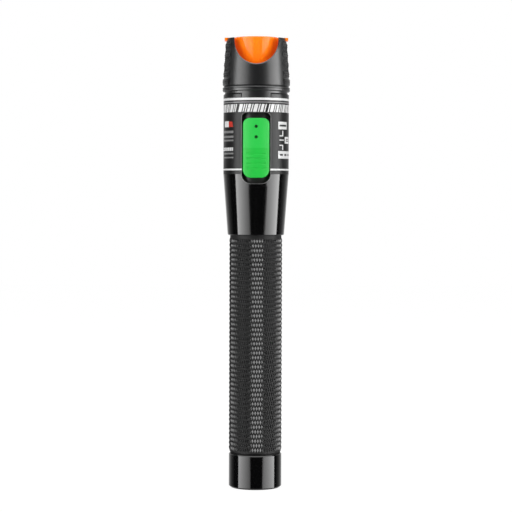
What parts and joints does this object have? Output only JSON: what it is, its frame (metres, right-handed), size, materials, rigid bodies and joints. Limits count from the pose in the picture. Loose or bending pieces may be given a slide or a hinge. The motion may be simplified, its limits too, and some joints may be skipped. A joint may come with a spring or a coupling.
{
  "type": "visual fault locator",
  "caption": "Pen-type visual fault locator: black metal barrel with a slide switch, knurled battery tube, screw tail cap, and an orange dust cap over the ferrule port.",
  "frame": {"origin": "centre of the flat tail end, on which the pen stands", "axes": "+Z along the pen from the tail to the dust cap, -Y towards the slide button, +X to the right of the button"},
  "size_m": [0.026, 0.0269, 0.1743],
  "materials": {
    "black_gloss": "gloss black anodised",
    "black_satin": "satin black anodised, knurled",
    "guard_black": "satin moulded",
    "cap_orange": "gloss moulded, soft",
    "button_green": "gloss moulded",
    "base_grey": "matt moulded",
    "label_film": "printed film",
    "nickel": "nickel plated brass",
    "laser_brass": "turned",
    "zirconia": "polished white ceramic",
    "lens_glass": "polished",
    "diode_gold": "gold plated",
    "cell_wrap": "printed wrap",
    "spring_steel": "nickel plated",
    "board_green": "solder mask",
    "chip_black": "moulded",
    "chip_ceramic": "fired ceramic",
    "trimmer_blue": "moulded",
    "o_ring_rubber": "smooth"
  },
  "bodies": {
    "pen": {"battery_lower": "cell_wrap", "battery_upper": "cell_wrap", "battery_tube": "black_satin", "tail_o_ring": "o_ring_rubber", "head_o_ring": "o_ring_rubber", "barrel": "black_gloss", "label_wrap": "label_film", "contact_holder": "base_grey", "positive_contact": "nickel", "ground_clip": "spring_steel", "circuit_board": "board_green", "board_carrier": "base_grey", "carrier_screws": "spring_steel", "driver_chip": "chip_black", "power_trimmer": "trimmer_blue", "board_capacitors": "chip_ceramic", "switch_body": "spring_steel", "adapter_base": "nickel", "ferrule_port": "nickel", "split_sleeve": "zirconia", "laser_housing": "laser_brass", "laser_diode": "diode_gold", "focus_lens": "lens_glass", "lens_ring": "laser_brass", "head_guard": "guard_black"},
    "switch_slider": {"slide_button": "button_green", "slide_base": "base_grey", "switch_lever": "chip_black"},
    "cap": {"dust_cap": "cap_orange"},
    "spring_contact": {"tail_contact": "nickel", "tail_spring": "spring_steel"},
    "tail": {"tail_cap": "black_gloss"}
  },
  "joints": [
    {"name": "cap_pull", "type": "slide", "parent": "pen", "child": "cap", "axis": [0, 0, 1], "range_m": [0, 0.05]},
    {"name": "switch_slide", "type": "slide", "parent": "pen", "child": "switch_slider", "axis": [0, 0, 1], "range_m": [-0.0019, 0.0019]},
    {"name": "tail_travel", "type": "slide", "parent": "pen", "child": "spring_contact", "axis": [0, 0, -1], "range_m": [0, 0.007]},
    {"name": "tail_turn", "type": "hinge", "parent": "spring_contact", "child": "tail", "pos_m": [0, 0, 0], "axis": [0, 0, -1], "range_deg": [0, 2519]}
  ],
  "couplings": [
    {"joint": "tail_travel", "follows": "tail_turn", "m_per_rad": 0.00015915}
  ]
}
